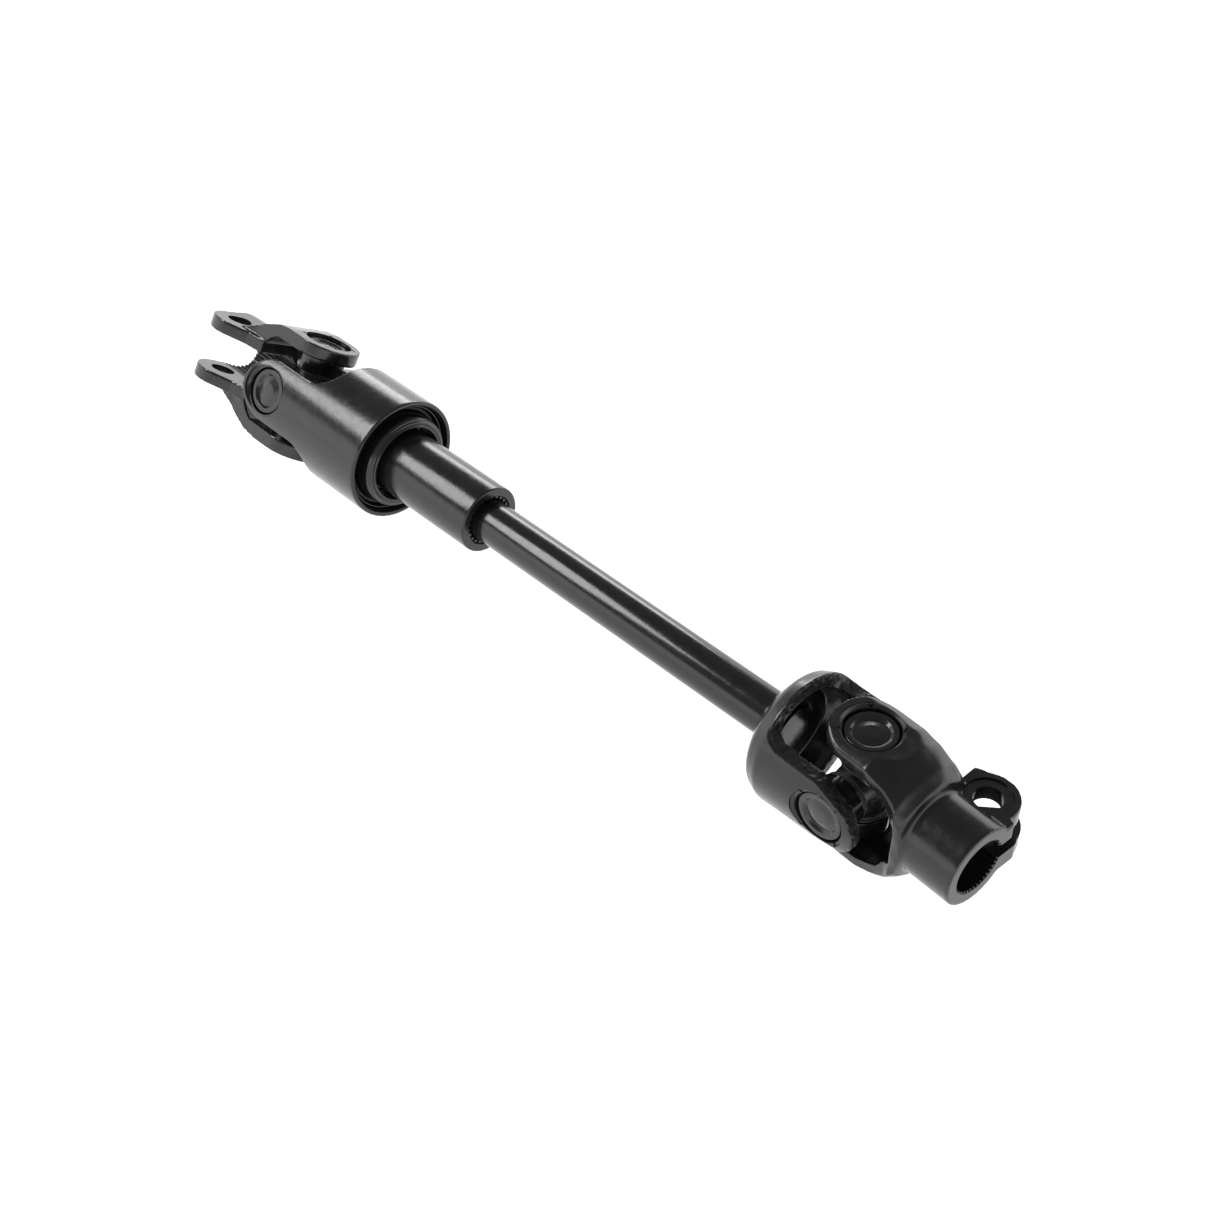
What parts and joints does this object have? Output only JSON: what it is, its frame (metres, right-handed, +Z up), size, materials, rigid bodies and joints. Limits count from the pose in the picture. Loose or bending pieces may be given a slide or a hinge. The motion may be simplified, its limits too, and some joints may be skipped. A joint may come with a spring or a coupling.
{
  "type": "universal joint shaft",
  "caption": "Telescopic steering shaft with a universal joint at each end, an open bolt-up clamp yoke, a split clamp hub and a rubber-isolated coupling housing.",
  "frame": {"origin": "bottom centre of the bounding box, with the shaft lying level on its axis", "axes": "+X along the shaft from the open clamp yoke to the split clamp hub, +Z up"},
  "size_m": [0.3436, 0.0452, 0.0477],
  "materials": {
    "black_paint": "near-black satin electrocoat with light orange peel",
    "dark_steel": "dark oiled machined steel",
    "bright_steel": "bright ground steel",
    "rubber": "matte black moulded rubber"
  },
  "bodies": {
    "coupling_housing": {"coupling_housing_yoke": "black_paint", "bush_outer_shell": "black_paint", "rubber_isolator": "rubber", "left_cup_near": "black_paint", "left_cup_far": "black_paint", "left_needles_near": "bright_steel", "left_needles_far": "bright_steel"},
    "left_spider": {"left_cross": "dark_steel", "left_seal_near": "rubber", "left_seal_far": "rubber", "left_seal_upper": "rubber", "left_seal_lower": "rubber"},
    "left_clamp": {"left_clamp_yoke": "black_paint", "left_cup_upper": "black_paint", "left_cup_lower": "black_paint", "left_needles_upper": "bright_steel", "left_needles_lower": "bright_steel"},
    "telescope_tube": {"outer_tube": "black_paint", "tube_end_plug": "dark_steel", "inner_sleeve": "black_paint", "tube_retaining_ring": "dark_steel"},
    "telescope_shaft": {"inner_shaft": "black_paint", "shaft_yoke": "black_paint", "right_cup_near": "black_paint", "right_cup_far": "black_paint", "right_needles_near": "bright_steel", "right_needles_far": "bright_steel"},
    "right_spider": {"right_cross": "dark_steel", "right_seal_near": "rubber", "right_seal_far": "rubber", "right_seal_upper": "rubber", "right_seal_lower": "rubber"},
    "right_clamp": {"right_clamp_yoke": "black_paint", "right_cup_upper": "black_paint", "right_cup_lower": "black_paint", "right_needles_upper": "bright_steel", "right_needles_lower": "bright_steel"}
  },
  "joints": [
    {"name": "left_cross_hinge", "type": "hinge", "parent": "coupling_housing", "child": "left_spider", "pos_m": [-0.12538, -0.00021, 0.02387], "axis": [0, -0.848, 0.5299], "range_deg": [-25, 25]},
    {"name": "left_clamp_hinge", "type": "hinge", "parent": "left_spider", "child": "left_clamp", "pos_m": [-0.12538, -0.00021, 0.02387], "axis": [0, 0.5299, 0.848], "range_deg": [-23, 24]},
    {"name": "coupling_twist", "type": "hinge", "parent": "coupling_housing", "child": "telescope_tube", "pos_m": [-0.08538, -0.00021, 0.02387], "axis": [1, 0, 0], "range_deg": [-3, 3], "stiffness_Nm_per_rad": 30},
    {"name": "shaft_slide", "type": "slide", "parent": "telescope_tube", "child": "telescope_shaft", "axis": [1, 0, 0], "range_m": [-0.01, 0.025]},
    {"name": "right_cross_hinge", "type": "hinge", "parent": "telescope_shaft", "child": "right_spider", "pos_m": [0.12962, -0.00021, 0.02387], "axis": [0, 1, 0], "range_deg": [-25, 25]},
    {"name": "right_clamp_hinge", "type": "hinge", "parent": "right_spider", "child": "right_clamp", "pos_m": [0.12962, -0.00021, 0.02387], "axis": [0, 0, 1], "range_deg": [-16.5, 23.5]}
  ]
}
